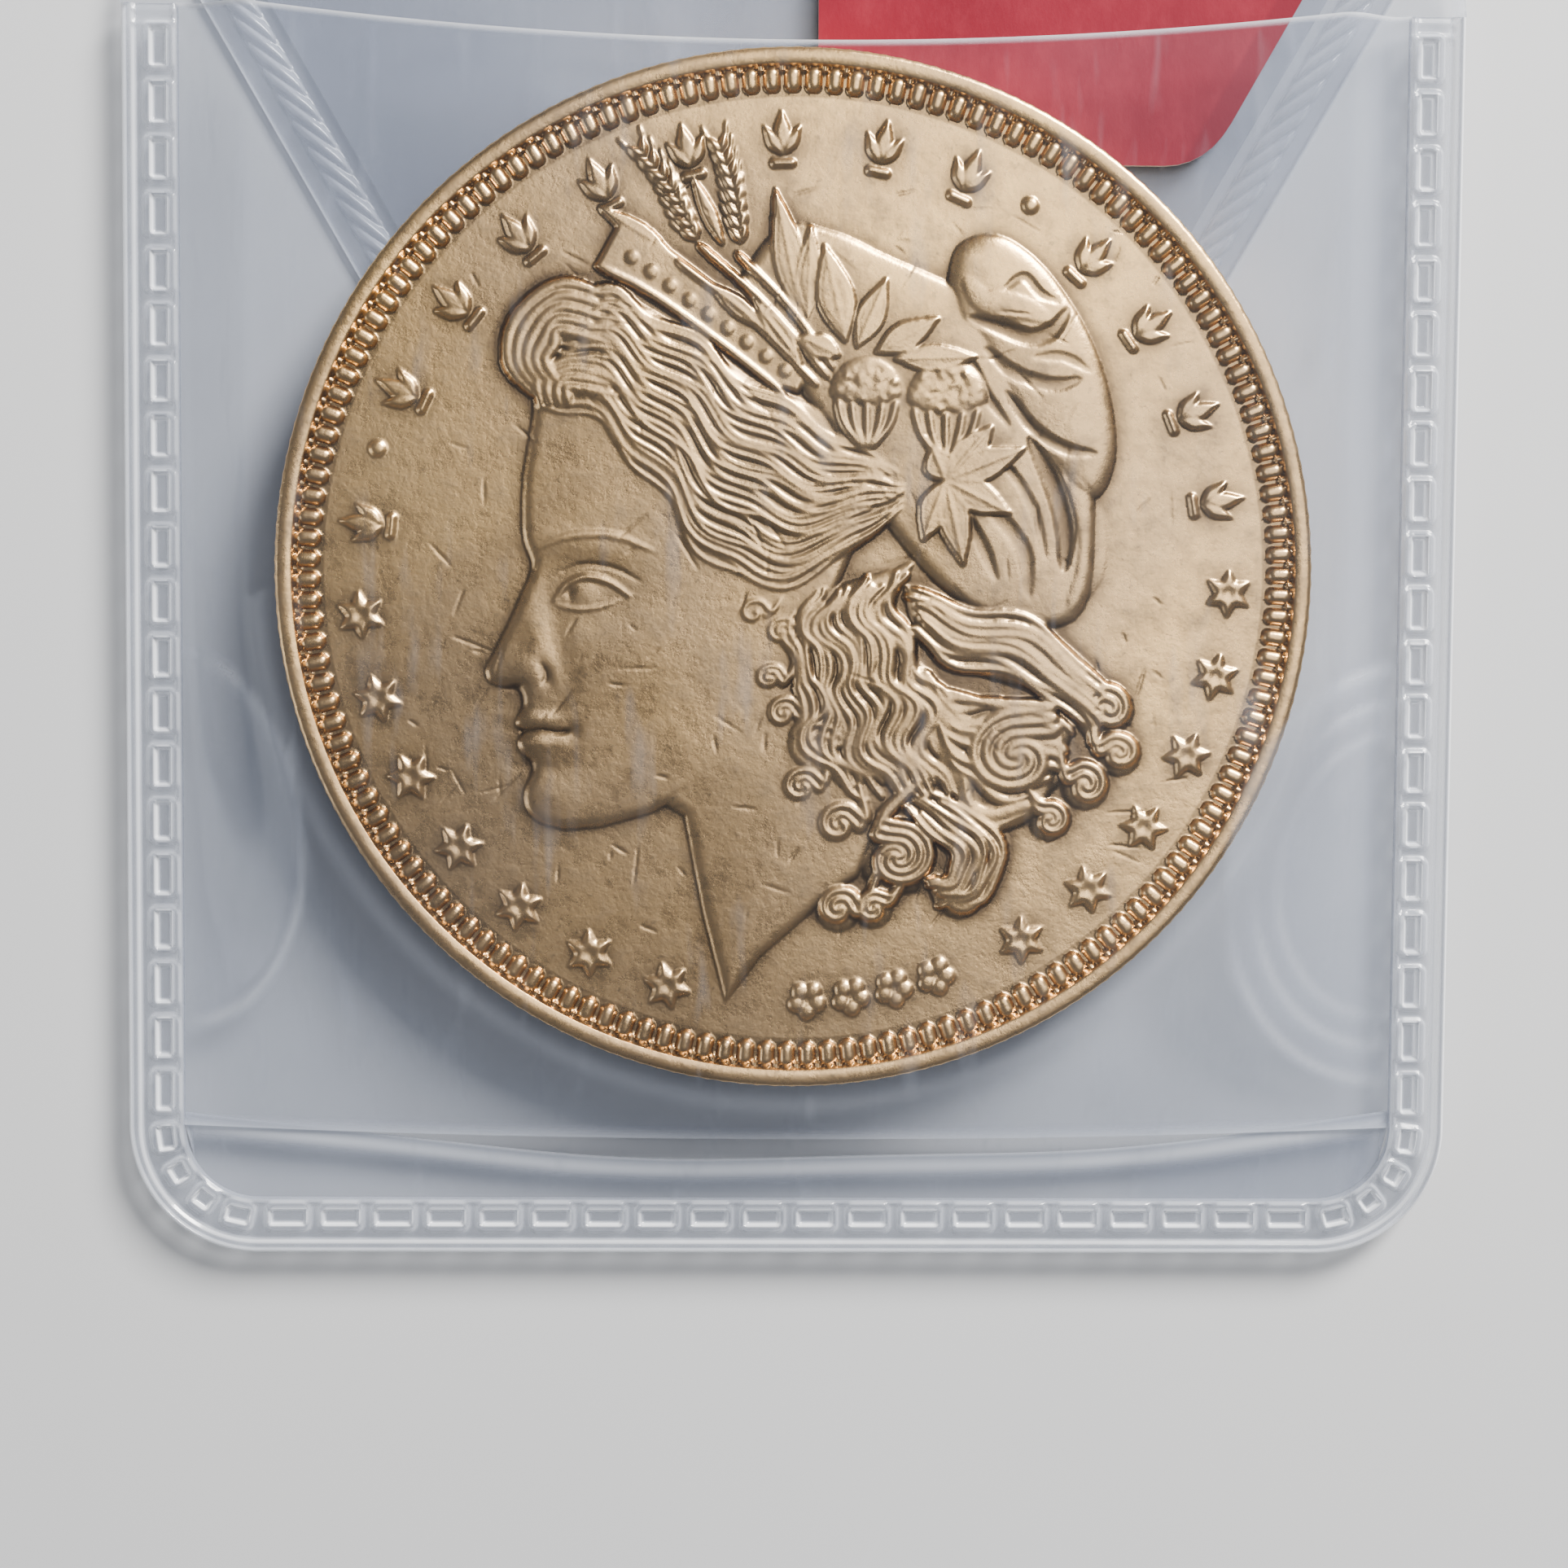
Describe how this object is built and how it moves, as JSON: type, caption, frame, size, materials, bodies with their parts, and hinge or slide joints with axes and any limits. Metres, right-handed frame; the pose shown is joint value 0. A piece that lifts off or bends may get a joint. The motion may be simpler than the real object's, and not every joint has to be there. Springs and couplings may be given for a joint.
{
  "type": "vinyl coin pouch with coin",
  "caption": "Clear vinyl coin pouch with stitched-look welded edges and a tapered flap folded behind, holding a large silver coin and a paper tag.",
  "frame": {"origin": "centre of the bounding box's underside, on the plane that the folded flap rests on", "axes": "+Z out of the coin's face, +Y towards the mouth and the fold, +X to the right seen from the front"},
  "size_m": [0.05, 0.05, 0.0041],
  "materials": {
    "clear_vinyl": "clear soft vinyl film, faint blue-grey haze and fine scratches",
    "welded_vinyl": "clear vinyl fused and embossed with a row of oblong stitches",
    "coin_silver": "frosted mint lustre with champagne toning and fine contact marks",
    "red_card": "matt red card with a white cut edge"
  },
  "bodies": {
    "pouch": {"front_film": "clear_vinyl", "back_film": "clear_vinyl", "bottom_strip": "clear_vinyl", "edge_weld": "welded_vinyl"},
    "flap": {"flap_outer_ply": "clear_vinyl", "flap_inner_ply": "clear_vinyl", "flap_weld_left": "welded_vinyl", "flap_weld_right": "welded_vinyl"},
    "coin": {"coin": "coin_silver"},
    "tag": {"paper_tag": "red_card"}
  },
  "joints": [
    {"name": "flap_hinge", "type": "hinge", "parent": "pouch", "child": "flap", "pos_m": [0, 0.0251, 0.0005], "axis": [1, 0, 0], "range_deg": [0, 180]},
    {"name": "coin_slide", "type": "slide", "parent": "pouch", "child": "coin", "axis": [0, 1, 0], "range_m": [0, 0.046]},
    {"name": "tag_slide", "type": "slide", "parent": "pouch", "child": "tag", "axis": [0, 1, 0], "range_m": [0, 0.012]}
  ]
}
